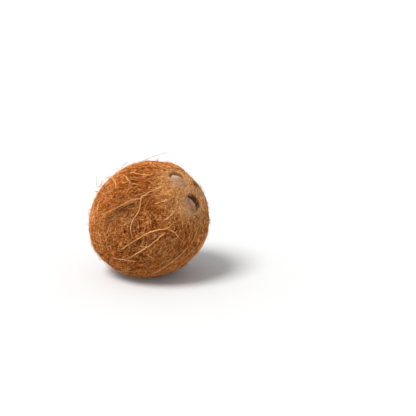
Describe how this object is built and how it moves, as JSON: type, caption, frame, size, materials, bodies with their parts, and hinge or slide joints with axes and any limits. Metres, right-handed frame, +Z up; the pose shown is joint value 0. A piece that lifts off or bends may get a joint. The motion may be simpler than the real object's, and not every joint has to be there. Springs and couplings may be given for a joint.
{
  "type": "coconut",
  "caption": "Ripe husked coconut: a hard round nut wrapped in a mat of brown fibre, with sunken eyes at the stem end and a small flat spot that it rests on.",
  "frame": {"origin": "on the surface that the nut rests on, under the middle of its bounding box", "axes": "+Z up from the rest spot; the stem end with the eyes points towards +X, a little towards -Y and up, and the nut is seen from -Y with the eyes at the upper right"},
  "size_m": [0.1172, 0.1138, 0.1132],
  "materials": {
    "coir_shell": "dry matted fibre over a hard shell"
  },
  "bodies": {
    "root": {"coconut": "coir_shell"}
  },
  "joints": []
}
